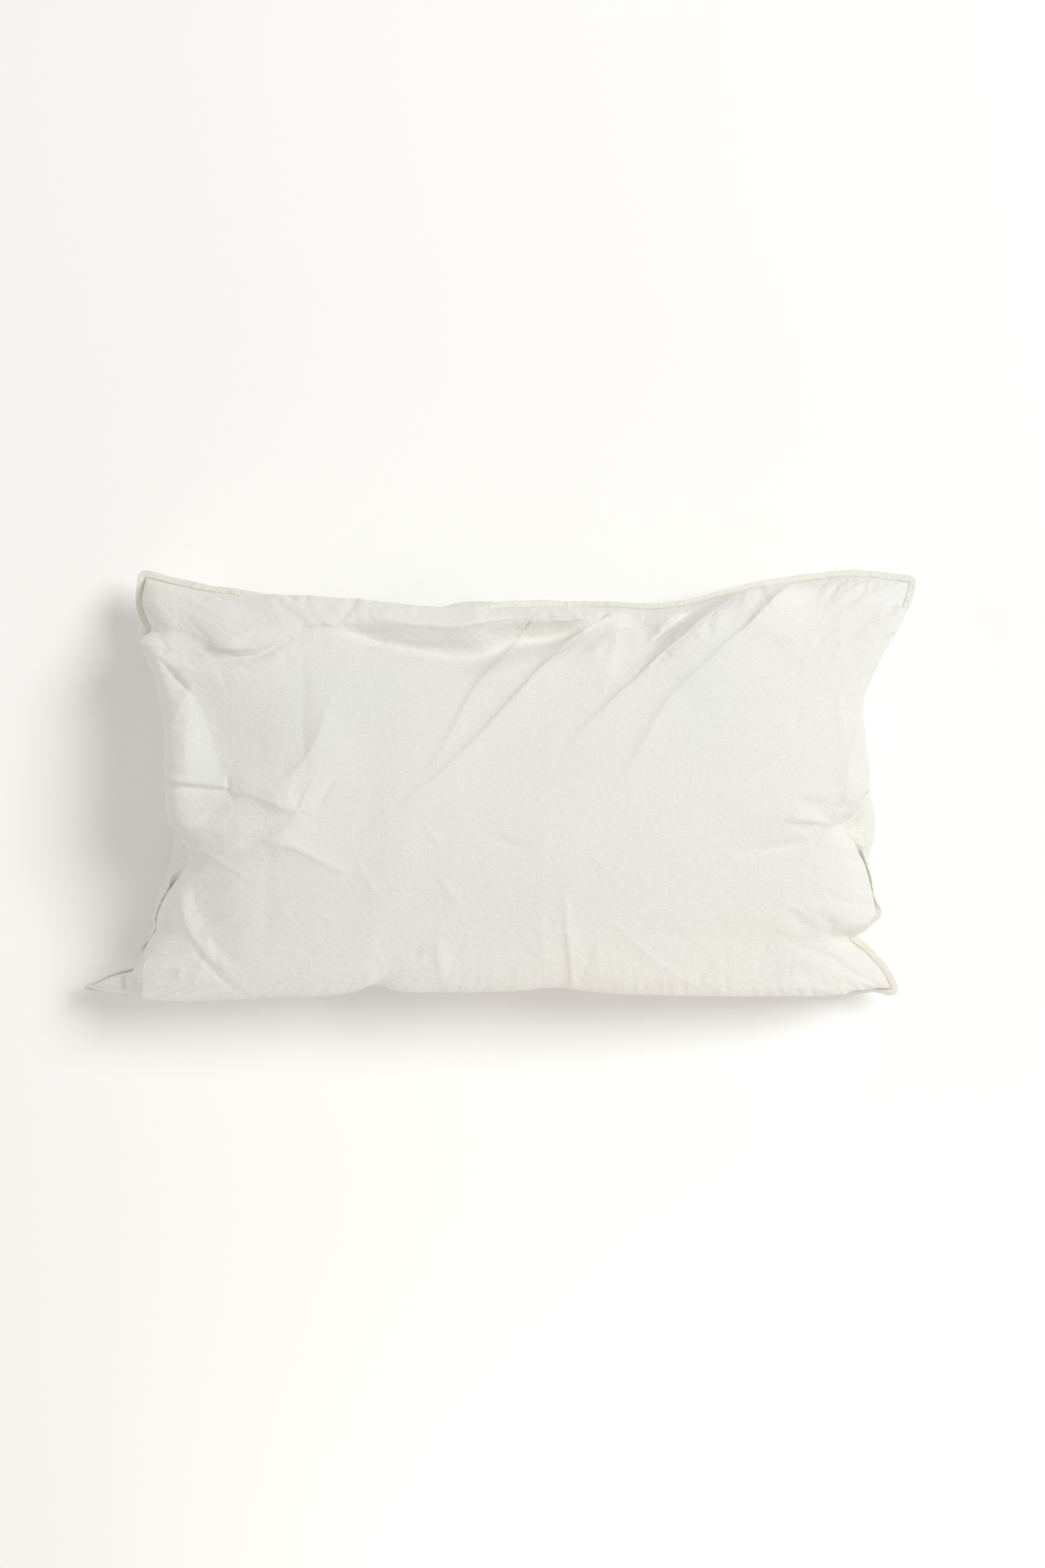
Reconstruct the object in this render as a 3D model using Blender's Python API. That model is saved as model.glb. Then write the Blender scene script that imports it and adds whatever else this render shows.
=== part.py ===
"""A long cushion cover of washed cotton, sewn all round with a turned-out seam and filled, lying on its back.

The cover is two panels joined along one seam. Its front swells into a crown that thins out towards the
right, its sides draw in between the corners, and the corners stay thin as flat ears.
Metres, +Z up. X runs along the length, Y across it, and Z = 0 is the surface that the back rests on.
"""

from collections import namedtuple

import bmesh
import bpy
import numpy as np

MM = 0.001

# Driving dimensions, in millimetres.
SEAM_EDGE_WIDTH = 8.0
SEAM_EDGE_THICKNESS = 2.0
SEAM_GAP = 0.3
RIM_THICKNESS = 3.0
FRONT_CROWN = 108.0
BACK_CROWN = 112.0

# Where the seam turns sharply, its edge leaves it no more obliquely than this: 1 is square to the seam.
LEAST_SQUARENESS = 0.4

# Resolution of each panel's grid, and how far its lines crowd towards the seam (0 even, 1 fully).
COLUMNS = 60
ROWS = 32
CROWDING = 0.45

# The crown's shape: a high squareness keeps it full near the sides, a low steepness makes them upright.
SQUARENESS_ALONG = 8.0
SQUARENESS_ACROSS = 2.3
CROWN_STEEPNESS = 0.42
CROWN_DRIFT = 0.05

# Right of this place, as a share of half the length, the filling thins out evenly to this much less.
FALL_START = 0.05
FALL_SHARE = 0.3

# A swelling side is carried out over the seam from this far in, once it has risen by this share of the crown.
SWELL_REACH = 16.0
SWELL_CARRY = 12.0
SWELL_ONSET = 6.0
RISEN_SHARE = 0.25

# The waves of the outline and of its level die away inwards, the faster the higher these powers are.
OUTLINE_FADE = 2.6
LEVEL_FADE = 6.0

# How crisp a fold's crest is, and the share of the crown by which the folds have their full lift.
FOLD_CRISPNESS = 1.5
FOLD_START_SHARE = 0.34

# One station of the stitched seam. "along" runs along the side and "across" is the seam's place across it,
# "level" its height above the surface, and the swells say how far each panel stands out past the seam there.
Station = namedtuple("Station", "along across level front_swell back_swell")

TOP_SIDE = (
    Station(-386, 226, 58, 0, 0),
    Station(-330, 212, 68, 0, 0),
    Station(-270, 202, 78, 2, 0),
    Station(-225, 193, 84, 8, 0),
    Station(-190, 187, 88, 12, 0),
    Station(-120, 181, 91, 12, 0),
    Station(-66, 176, 92, 11, 0),
    Station(-35, 178, 91, 9, 0),
    Station(-12, 188, 89, 2, 0),
    Station(20, 191, 87, 0, 0),
    Station(71, 191, 86, 0, 0),
    Station(121, 190, 88, 0, 0),
    Station(162, 188, 88, 0, 0),
    Station(203, 193, 86, 0, 0),
    Station(240, 203, 82, 0, 0),
    Station(286, 214, 76, 2, 0),
    Station(327, 220, 70, 0, 0),
    Station(377, 226, 62, 0, 0),
    Station(444, 221, 54, 0, 0),
)

BOTTOM_SIDE = (
    Station(-444, -219, 40, 0, 0),
    Station(-425, -223, 43, 2, 0),
    Station(-400, -225, 46, 5, 0),
    Station(-360, -219, 56, 12, 0),
    Station(-251, -212, 74, 14, 0),
    Station(-190, -207, 80, 16, 0),
    Station(-160, -203, 84, 14, 0),
    Station(-140, -200, 85, 10, 0),
    Station(-120, -202, 84, 14, 0),
    Station(-60, -205, 84, 14, 0),
    Station(20, -204, 84, 13, 0),
    Station(62, -203, 84, 11, 0),
    Station(90, -205, 83, 13, 0),
    Station(140, -208, 81, 14, 0),
    Station(195, -211, 78, 13, 0),
    Station(286, -214, 68, 12, 0),
    Station(350, -218, 58, 9, 0),
    Station(400, -221, 48, 0, 0),
    Station(426, -222, 43, 0, 0),
)

LEFT_SIDE = (
    Station(-219, -444, 40, 0, 0),
    Station(-209, -426, 43, 0, 0),
    Station(-202, -406, 46, 1, 0),
    Station(-194, -391, 51, 3, 3),
    Station(-185, -386, 55, 2, 8),
    Station(-172, -381, 59, 0, 7),
    Station(-155, -371, 64, 0, 10),
    Station(-140, -370, 68, 0, 10),
    Station(-125, -364, 73, 0, 12),
    Station(-112, -356, 78, 0, 16),
    Station(-98, -345, 84, 0, 20),
    Station(-86, -337, 87, 0, 24),
    Station(-73, -334, 90, 0, 23),
    Station(-60, -340, 90, 0, 15),
    Station(-40, -342, 88, 6, 10),
    Station(9, -342, 84, 12, 0),
    Station(79, -346, 80, 11, 0),
    Station(100, -351, 78, 11, 0),
    Station(120, -357, 76, 11, 0),
    Station(140, -367, 73, 11, 2),
    Station(150, -375, 72, 8, 5),
    Station(160, -385, 70, 2, 8),
    Station(168, -378, 70, 0, 20),
    Station(180, -382, 67, 0, 12),
    Station(197, -388, 63, 0, 0),
    Station(226, -386, 58, 0, 0),
)

RIGHT_SIDE = (
    Station(-222, 426, 43, 0, 0),
    Station(-202, 415, 48, 0, 0),
    Station(-182, 397, 54, 0, 0),
    Station(-162, 378, 60, 0, 0),
    Station(-148, 398, 62, 2, 0),
    Station(-140, 405, 64, 2, 0),
    Station(-127, 404, 66, 2, 0),
    Station(-105, 399, 72, 0, 4),
    Station(-86, 393, 76, 0, 8),
    Station(-62, 381, 84, 0, 24),
    Station(-48, 371, 89, 0, 36),
    Station(-37, 372, 90, 0, 35),
    Station(-28, 382, 88, 0, 25),
    Station(-13, 388, 85, 3, 14),
    Station(5, 382, 82, 10, 14),
    Station(54, 378, 78, 10, 8),
    Station(88, 376, 74, 10, 0),
    Station(131, 393, 68, 12, 0),
    Station(154, 406, 64, 12, 0),
    Station(181, 425, 60, 9, 0),
    Station(198, 437, 57, 0, 0),
    Station(221, 444, 54, 0, 0),
)

# A fold of the front is a crest line. It falls away over "steep" on the right hand of its way and over
# "gentle" on the left. Each point gives x, y and the crest's lift there; a negative lift makes a trough.
Fold = namedtuple("Fold", "name steep gentle points")

FOLDS = (
    Fold("strip under the top seam", 14, 18,
         ((-238, 166, 1), (-180, 172, 8), (-126, 173, 15), (-68, 166, 20), (-20, 170, 23), (48, 177, 27),
          (82, 179, 26), (116, 183, 22), (155, 186, 18), (198, 181, 1))),
    Fold("trough below that strip", 20, 20,
         ((-167, 163, -2), (-116, 149, -12), (-58, 137, -20), (-12, 139, -26), (23, 151, -33),
          (78, 158, -32), (118, 169, -21), (157, 162, -18), (190, 159, -1))),
    Fold("first diagonal roll", 10, 26,
         ((25, 163, 5), (-6, 125, 7), (-32, 94, 3), (-70, 25, 1), (-89, 0, 0))),
    Fold("second diagonal roll", 10, 34,
         ((103, 173, 7), (74, 152, 13), (19, 98, 6), (-45, 31, 3), (-103, -24, 0))),
    Fold("third diagonal roll", 12, 45,
         ((272, 207, 8), (239, 188, 23), (213, 167, 27), (167, 133, 14), (122, 93, 5), (68, 39, 0))),
    Fold("broad roll to the top corner", 14, 34,
         ((316, 217, 6), (288, 192, 24), (260, 162, 14), (213, 121, 5), (151, 49, 2), (111, -14, 0))),
    Fold("nose of the fold in the top left", 14, 22,
         ((-344, 194, 4), (-306, 174, 8), (-300, 148, 6), (-254, 144, 7), (-208, 165, 1))),
    Fold("trough under that fold", 14, 15,
         ((-208, 160, -1), (-239, 142, -7), (-271, 131, -10), (-320, 131, -8), (-341, 133, -4))),
    Fold("roll along the left side", 14, 26,
         ((-361, 138, 1), (-341, 80, 8), (-339, 19, 10), (-338, -24, 6), (-333, -41, 2))),
    Fold("valley beside that roll", 16, 42, ((-326, 109, -1), (-302, 53, -8), (-288, 4, -4))),
    Fold("pressed fold at the left", 14, 25, ((-284, -4, 2), (-242, -16, 5), (-213, -26, 2))),
    Fold("roll over the lower left ear", 12, 56,
         ((-358, -129, 0), (-367, -170, 7), (-371, -203, 14), (-371, -228, 14))),
    Fold("hollow beside that roll", 14, 26,
         ((-328, -89, -1), (-316, -134, -4), (-294, -173, -3), (-277, -187, -1))),
    Fold("trough to the right seam", 12, 16,
         ((243, -76, 0), (291, -65, -4), (340, -49, -6), (363, -37, -3))),
    Fold("step beside the right seam", 12, 22,
         ((380, 81, 0), (364, 19, 3), (357, -21, 4), (345, -40, 2))),
    Fold("roll beside the lower right notch", 12, 26, ((281, -200, 0), (322, -178, 5), (369, -155, 10))),
)

# Where the filling has sunk or gathered: a soft mound or hollow at x, y, that many millimetres across.
Mound = namedtuple("Mound", "name x y reach_x reach_y lift")

MOUNDS = (
    Mound("hollow in the top left corner", -332, 170, 26, 26, -6),
    Mound("sunk top edge", -254, 177, 30, 12, -4),
    Mound("sunk left flank", -260, 53, 34, 55, -4),
    Mound("sunk lower left flank", -307, -121, 24, 34, -2),
    Mound("full lower middle", 10, -58, 190, 70, 6),
    Mound("full right half", 233, 20, 120, 120, 3),
)

CLOTH_COLOUR = (0.776, 0.768, 0.716, 1.0)
SEAM_COLOUR = (0.752, 0.728, 0.640, 1.0)
CLOTH_ROUGHNESS = 0.92
SMOOTH_ANGLE = np.radians(40)


def reader(side, column):
    """A smooth curve through one column of a side's stations."""
    along = np.array([station.along for station in side], float)
    value = np.array([getattr(station, column) for station in side], float)
    slope = np.gradient(value, along)

    def read(at):
        index = np.clip(np.searchsorted(along, at) - 1, 0, len(along) - 2)
        span = along[index + 1] - along[index]
        part = (at - along[index]) / span
        rise = part * part * (3 - 2 * part)
        ease_in = part * (1 - part) ** 2
        ease_out = part * part * (part - 1)
        return (
            value[index] * (1 - rise)
            + value[index + 1] * rise
            + span * (slope[index] * ease_in + slope[index + 1] * ease_out)
        )

    return read


def side_reading(side, column, share):
    """The column where a fraction of the side, 0 to 1, has been passed."""
    return reader(side, column)(side[0].along + share * (side[-1].along - side[0].along))


def grid_shares(count):
    """Fractions 0 to 1 along a side, closer together towards its ends."""
    even = np.linspace(0, 1, count + 1)
    eased = (1 - np.cos(np.pi * even)) / 2
    return even + CROWDING * (eased - even)


def base_sheet(across, up):
    """The place of each grid point on a sheet stretched over the seam, as x, y and level."""
    left_x = side_reading(LEFT_SIDE, "across", up)
    right_x = side_reading(RIGHT_SIDE, "across", up)
    bottom_y = side_reading(BOTTOM_SIDE, "across", across)
    top_y = side_reading(TOP_SIDE, "across", across)
    left_line = LEFT_SIDE[0].across + up * (LEFT_SIDE[-1].across - LEFT_SIDE[0].across)
    right_line = RIGHT_SIDE[0].across + up * (RIGHT_SIDE[-1].across - RIGHT_SIDE[0].across)
    bottom_line = BOTTOM_SIDE[0].across + across * (BOTTOM_SIDE[-1].across - BOTTOM_SIDE[0].across)
    top_line = TOP_SIDE[0].across + across * (TOP_SIDE[-1].across - TOP_SIDE[0].across)
    x = left_line + across * (right_line - left_line)
    x = x + (left_x - left_line) * (1 - across) ** OUTLINE_FADE
    x = x + (right_x - right_line) * across**OUTLINE_FADE
    y = bottom_line + up * (top_line - bottom_line)
    y = y + (bottom_y - bottom_line) * (1 - up) ** OUTLINE_FADE
    y = y + (top_y - top_line) * up**OUTLINE_FADE
    left_level = side_reading(LEFT_SIDE, "level", up)
    right_level = side_reading(RIGHT_SIDE, "level", up)
    left_even = LEFT_SIDE[0].level + up * (LEFT_SIDE[-1].level - LEFT_SIDE[0].level)
    right_even = RIGHT_SIDE[0].level + up * (RIGHT_SIDE[-1].level - RIGHT_SIDE[0].level)
    bottom_level = side_reading(BOTTOM_SIDE, "level", across)
    top_level = side_reading(TOP_SIDE, "level", across)
    level = bottom_level + up * (top_level - bottom_level)
    level = level + (left_level - left_even) * (1 - across) ** LEVEL_FADE
    level = level + (right_level - right_even) * across**LEVEL_FADE
    return x, y, level


def crown(across, up):
    """How full the cushion is, from 0 on the seam to 1 at its thickest."""
    s = 2 * across - 1
    t = 2 * up - 1
    s = s - CROWN_DRIFT * (1 - s * s)
    full = (1 - np.abs(s) ** SQUARENESS_ALONG) * (1 - np.abs(t) ** SQUARENESS_ACROSS)
    fall = FALL_SHARE * np.clip(s - FALL_START, 0, 1)
    return np.clip(full, 0, 1) ** CROWN_STEEPNESS * (1 - fall)


def swell(across, up, column):
    """How far each point is carried out past the seam by the bulging sides, as shifts in x and y."""

    def bulge(side, share, inwards, length):
        depth = inwards * length / SWELL_REACH
        past_seam = side_reading(side, column, share)
        carried = past_seam + SWELL_CARRY * np.clip(past_seam / SWELL_ONSET, 0, 1)
        return carried * depth * np.exp(1 - depth)

    length = RIGHT_SIDE[0].across - LEFT_SIDE[0].across
    width = TOP_SIDE[0].across - BOTTOM_SIDE[0].across
    shift_x = bulge(RIGHT_SIDE, up, 1 - across, length) - bulge(LEFT_SIDE, up, across, length)
    shift_y = bulge(TOP_SIDE, across, 1 - up, width) - bulge(BOTTOM_SIDE, across, up, width)
    risen = np.clip(crown(across, up) / RISEN_SHARE, 0, 1)
    return shift_x * risen, shift_y * risen


def fold_lift(fold, x, y):
    """The lift that one fold gives at each point, from its distance to the crest line."""
    best = np.full(x.shape, np.inf)
    lift = np.zeros(x.shape)
    for (ax, ay, a_lift), (bx, by, b_lift) in zip(fold.points, fold.points[1:]):
        run_x, run_y = bx - ax, by - ay
        run = np.hypot(run_x, run_y)
        part = np.clip(((x - ax) * run_x + (y - ay) * run_y) / run**2, 0, 1)
        off_x = x - ax - part * run_x
        off_y = y - ay - part * run_y
        distance = np.hypot(off_x, off_y)
        on_left = run_x * off_y - run_y * off_x > 0
        reach = np.where(on_left, fold.gentle, fold.steep)
        here = (a_lift + part * (b_lift - a_lift)) * np.exp(-((distance / reach) ** FOLD_CRISPNESS))
        nearer = distance < best
        best = np.where(nearer, distance, best)
        lift = np.where(nearer, here, lift)
    return lift


def front_panel(across, up):
    """The front's points: crown, folds and mounds, with its swollen sides standing out past the seam."""
    x, y, level = base_sheet(across, up)
    full = crown(across, up)
    shaped = sum(fold_lift(fold, x, y) for fold in FOLDS)
    for mound in MOUNDS:
        spread = ((x - mound.x) / mound.reach_x) ** 2 + ((y - mound.y) / mound.reach_y) ** 2
        shaped = shaped + mound.lift * np.exp(-spread)
    inside = np.clip(full / FOLD_START_SHARE, 0, 1)
    shift_x, shift_y = swell(across, up, "front_swell")
    z = level + RIM_THICKNESS / 2 + FRONT_CROWN * full + shaped * inside
    return np.stack([x + shift_x, y + shift_y, z], axis=-1)


def back_panel(across, up):
    """The back's points: a shallower crown, pressed flat where it rests."""
    x, y, level = base_sheet(across, up)
    shift_x, shift_y = swell(across, up, "back_swell")
    z = level - RIM_THICKNESS / 2 - BACK_CROWN * crown(across, up)
    return np.stack([x + shift_x, y + shift_y, np.maximum(z, 0)], axis=-1)


def seam_route():
    """The stitched seam all round, anticlockwise from the lower left corner, as x, y and level."""
    across = grid_shares(COLUMNS)
    up = grid_shares(ROWS)
    sides = (
        base_sheet(across[:-1], np.zeros(COLUMNS)),
        base_sheet(np.ones(ROWS), up[:-1]),
        base_sheet(across[:0:-1], np.ones(COLUMNS)),
        base_sheet(np.zeros(ROWS), up[:0:-1]),
    )
    return np.concatenate([np.stack(side, axis=-1) for side in sides])


def outward(route):
    """The level direction out of each corner of the route, and how squarely it leaves the two runs there."""
    run = (np.roll(route, -1, axis=0) - route)[:, :2]
    run = run / np.linalg.norm(run, axis=1, keepdims=True)
    square = np.stack([run[:, 1], -run[:, 0], np.zeros(len(run))], axis=-1)
    away = square + np.roll(square, 1, axis=0)
    away = away / np.linalg.norm(away, axis=1, keepdims=True)
    squareness = np.sum(away * square, axis=1, keepdims=True)
    return away, np.maximum(squareness, LEAST_SQUARENESS)


def cloth(name, colour):
    material = bpy.data.materials.new(name)
    material.use_nodes = True
    shader = material.node_tree.nodes["Principled BSDF"]
    shader.inputs["Base Color"].default_value = colour
    shader.inputs["Roughness"].default_value = CLOTH_ROUGHNESS
    shader.inputs["Metallic"].default_value = 0.0
    material.diffuse_color = colour
    return material


def add_object(name, mesh, material, collection):
    mesh.materials.append(material)
    mesh.shade_smooth()
    mesh.set_sharp_from_angle(angle=SMOOTH_ANGLE)
    made = bpy.data.objects.new(name, mesh)
    collection.objects.link(made)
    return made


def grid_sheet(bm, shape):
    """One panel as a grid whose points are placed by its shape. Returns its boundary edges."""
    made = bmesh.ops.create_grid(bm, x_segments=COLUMNS, y_segments=ROWS, size=1)["verts"]
    across = grid_shares(COLUMNS)
    up = grid_shares(ROWS)
    column = np.array([round((vert.co.x + 1) / 2 * COLUMNS) for vert in made])
    row = np.array([round((vert.co.y + 1) / 2 * ROWS) for vert in made])
    for vert, place in zip(made, shape(across[column], up[row])):
        vert.co = place * MM
    faces = {face for vert in made for face in vert.link_faces}
    edges = [edge for edge in {edge for face in faces for edge in face.edges} if edge.is_boundary]
    return list(faces), edges


def filled_cover(collection):
    """Both panels, joined by the narrow wall of the seam that the turned-out edge stands on."""
    bm = bmesh.new()
    _, front_rim = grid_sheet(bm, front_panel)
    back_faces, back_rim = grid_sheet(bm, back_panel)
    bmesh.ops.reverse_faces(bm, faces=back_faces)
    bmesh.ops.bridge_loops(bm, edges=front_rim + back_rim)
    bmesh.ops.recalc_face_normals(bm, faces=bm.faces)
    mesh = bpy.data.meshes.new("filled_cover")
    bm.to_mesh(mesh)
    bm.free()
    return add_object("filled_cover", mesh, cloth("washed cotton", CLOTH_COLOUR), collection)


def seam_edge(collection):
    """The turned-out edge: a flat strip that stands out from the seam all round."""
    route = seam_route()
    away, squareness = outward(route)
    inner = route + away * SEAM_GAP / squareness
    outer = inner + away * SEAM_EDGE_WIDTH
    count = len(route)
    lower = np.concatenate([inner, outer]) - (0, 0, SEAM_EDGE_THICKNESS / 2)
    bm = bmesh.new()
    verts = [bm.verts.new(place * MM) for place in lower]
    for i in range(count):
        after = (i + 1) % count
        bm.faces.new((verts[i], verts[count + i], verts[count + after], verts[after]))
    raised = bmesh.ops.extrude_face_region(bm, geom=list(bm.faces))["geom"]
    raised_verts = [item for item in raised if isinstance(item, bmesh.types.BMVert)]
    bmesh.ops.translate(bm, verts=raised_verts, vec=(0, 0, SEAM_EDGE_THICKNESS * MM))
    bmesh.ops.recalc_face_normals(bm, faces=bm.faces)
    mesh = bpy.data.meshes.new("seam_edge")
    bm.to_mesh(mesh)
    bm.free()
    return add_object("seam_edge", mesh, cloth("turned cotton edge", SEAM_COLOUR), collection)


for startup_object in list(bpy.data.objects):
    bpy.data.objects.remove(startup_object, do_unlink=True)
cushion = bpy.data.collections.new("cushion_cover")
bpy.context.scene.collection.children.link(cushion)
filled_cover(cushion)
seam_edge(cushion)
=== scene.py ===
"""A long cushion in a cover of washed ivory cotton, sewn all round with a turned-out French seam."""

import random
from collections import namedtuple

import bpy
import numpy as np
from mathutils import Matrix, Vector, noise


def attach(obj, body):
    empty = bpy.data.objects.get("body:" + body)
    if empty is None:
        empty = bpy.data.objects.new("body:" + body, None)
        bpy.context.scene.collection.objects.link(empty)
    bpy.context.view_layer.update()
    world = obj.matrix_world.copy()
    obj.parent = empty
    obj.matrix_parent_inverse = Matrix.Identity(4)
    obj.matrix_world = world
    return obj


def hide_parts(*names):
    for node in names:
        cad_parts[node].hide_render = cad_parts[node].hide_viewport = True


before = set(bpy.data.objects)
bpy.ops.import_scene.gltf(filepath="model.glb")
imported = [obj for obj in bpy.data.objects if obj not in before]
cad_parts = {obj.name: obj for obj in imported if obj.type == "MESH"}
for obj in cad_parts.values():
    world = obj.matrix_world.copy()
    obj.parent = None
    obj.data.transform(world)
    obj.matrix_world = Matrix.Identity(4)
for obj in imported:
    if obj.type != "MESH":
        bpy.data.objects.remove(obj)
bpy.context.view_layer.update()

# ---------------------------------------------------------------------------------------------------------
# Filled cover. Two panels of washed plain-weave cotton, cut 0.90 x 0.50 m, joined along one seam and filled
# with loose fibre. The front is crowned and creased, the back is pressed flat where the cushion lies.
# ---------------------------------------------------------------------------------------------------------
# Sizes are in millimetres until a mesh is made. Each panel is cut 900 x 500, and the seam takes 8 all round.
MM = 0.001
EDGE_WIDTH = 8.0
CUT_LENGTH = 900.0 - 2 * EDGE_WIDTH
CUT_WIDTH = 500.0 - 2 * EDGE_WIDTH
RIM_THICKNESS = 1.2
FRONT_CROWN = 108.0
BACK_CROWN = 112.0

# The crown: a high squareness keeps it full near the sides, a low steepness makes the sides upright.
SQUARENESS_ALONG = 8.0
SQUARENESS_ACROSS = 2.3
CROWN_STEEPNESS = 0.42
CROWN_DRIFT = 0.05
# Towards the right the filling thins out evenly, so that the face slopes.
FALL_START = 0.05
FALL_SHARE = 0.3

# A swelling side is carried out furthest at this reach from the seam. It goes this much further than it
# swells, in full where it swells by the onset, and where the crown has risen by this share.
SWELL_REACH = 16.0
SWELL_CARRY = 12.0
SWELL_ONSET = 6.0
RISEN_SHARE = 0.25
# The waves of the outline and of its level die away inwards, the faster the higher these powers are.
OUTLINE_FADE = 2.6
LEVEL_FADE = 6.0

# A station of the stitched seam, in millimetres: how far along its side, its place across that side, its
# height, how far the front and the back stand out past it there, and how many degrees its edge turns down. A
# turn below zero lays the edge up against the front, which leaves a narrow dark slit.
Station = namedtuple("Station", "along across level front_swell back_swell turn", defaults=(0,))

TOP_SIDE = (
    Station(-386, 226, 58, 0, 0),
    Station(-330, 212, 68, 0, 0),
    Station(-270, 202, 78, 2, 0),
    Station(-225, 193, 84, 8, 0),
    Station(-190, 187, 88, 12, 0),
    Station(-120, 181, 91, 12, 0),
    Station(-66, 176, 92, 11, 15),
    Station(-35, 178, 91, 9, 20),
    Station(-12, 188, 89, 2, 10),
    Station(20, 191, 87, 0, 0),
    Station(71, 191, 86, 0, 0),
    Station(121, 190, 88, 0, 0),
    Station(162, 188, 88, 0, 0),
    Station(203, 193, 86, 0, 0),
    Station(240, 203, 82, 0, 0),
    Station(286, 214, 76, 2, 0),
    Station(327, 220, 70, 0, 0),
    Station(377, 226, 62, 0, 0),
    Station(444, 221, 54, 0, 0),
)

BOTTOM_SIDE = (
    Station(-452, -221, 40, 0, 0, 60),
    Station(-430, -223, 43, 2, 0, 65),
    Station(-400, -225, 46, 5, 0, 50),
    Station(-360, -219, 56, 12, 0),
    Station(-251, -212, 74, 14, 0),
    Station(-190, -207, 80, 16, 0),
    Station(-160, -203, 84, 14, 8),
    Station(-140, -200, 85, 10, 17),
    Station(-120, -202, 84, 14, 8),
    Station(-60, -205, 84, 14, 0),
    Station(20, -204, 84, 13, 0),
    Station(62, -203, 84, 11, 14),
    Station(90, -205, 83, 13, 4),
    Station(140, -208, 81, 14, 0),
    Station(195, -211, 78, 13, 0),
    Station(286, -214, 68, 12, 0),
    Station(350, -218, 58, 9, 0),
    Station(385, -220, 51, 5, 0, 30),
    Station(408, -221, 46, 3.5, 0, 55),
    Station(426, -222, 43, 0, 0, 20),
)

LEFT_SIDE = (
    Station(-220, -452, 40, 0, 0, 60),
    Station(-214.5, -441, 42, 0, 0, 80),
    Station(-208.5, -429.5, 43, 0, 0, 85),
    Station(-204, -417.5, 44, 0, 0, 85),
    Station(-200.5, -403, 47, 2, 0, 85),
    Station(-195, -390, 50, 5, 3, 80),
    Station(-185, -387, 55, 2, 8, 55),
    Station(-179, -385, 57, 0, 7, -20),
    Station(-172, -382, 59, 0, 7, -60),
    Station(-155, -371, 64, 0, 10, -66),
    Station(-140, -370, 68, 0, 10, -66),
    Station(-125, -364, 73, 0, 12, -66),
    Station(-112, -356, 78, 0, 16, -64),
    Station(-104, -350, 81, 0, 18, -30),
    Station(-98, -345, 84, 0, 20, 25),
    Station(-86, -337, 87, 0, 24, 50),
    Station(-73, -334, 90, 0, 23, 50),
    Station(-60, -340, 90, 0, 15, 50),
    Station(-40, -342, 88, 6, 10),
    Station(9, -342, 84, 12.5, 0),
    Station(79, -346, 80, 11, 0),
    Station(100, -351, 78, 11, 0),
    Station(120, -357, 76, 11, 0, 30),
    Station(140, -367, 73, 11, 2, 60),
    Station(150, -375, 72, 8, 5, 65),
    Station(160, -385, 70, 2, 8, 45),
    Station(168, -377, 70, 0, 20, 20),
    Station(180, -382, 67, 0, 12),
    Station(197, -388, 63, 0, 0),
    Station(226, -386, 58, 0, 0),
)

RIGHT_SIDE = (
    Station(-222, 426, 43, 0, 0),
    Station(-202, 415, 48, 0, 0),
    Station(-182, 397, 54, 0, 0),
    Station(-162, 378, 60, 0, 0, 20),
    Station(-148, 398, 62, 2, 0, 45),
    Station(-140, 404.5, 64, 1, 0, 10),
    Station(-127, 403.5, 66, 0, 0, -64),
    Station(-105, 398.5, 72, 0, 4, -69),
    Station(-86, 392.5, 76, 0, 8, -67),
    Station(-72, 386, 80, 0, 16, -50),
    Station(-62, 381, 84, 0, 24, 10),
    Station(-48, 371, 89, 0, 36, 20),
    Station(-37, 372, 90, 0, 35, 20),
    Station(-28, 382, 88, 0, 25, 50),
    Station(-13, 388, 85, 3, 14, 60),
    Station(5, 382, 82, 10, 14),
    Station(54, 378, 78, 10, 8),
    Station(88, 376, 74, 10, 0),
    Station(131, 393, 68, 12, 0),
    Station(154, 406, 64, 12, 0),
    Station(181, 425, 60, 9, 0),
    Station(198, 437, 57, 0, 0),
    Station(221, 444, 54, 0, 0),
)

# A fold of the front is a crest line, which falls away over "steep" on the right hand of its way and over
# "gentle" on the left, and leans over its steep side. Points are x, y and lift: below zero is a trough. A
# fold that isn't crisp has a rounded crest.
Fold = namedtuple("Fold", "steep gentle lean points crisp", defaults=(True,))

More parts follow.
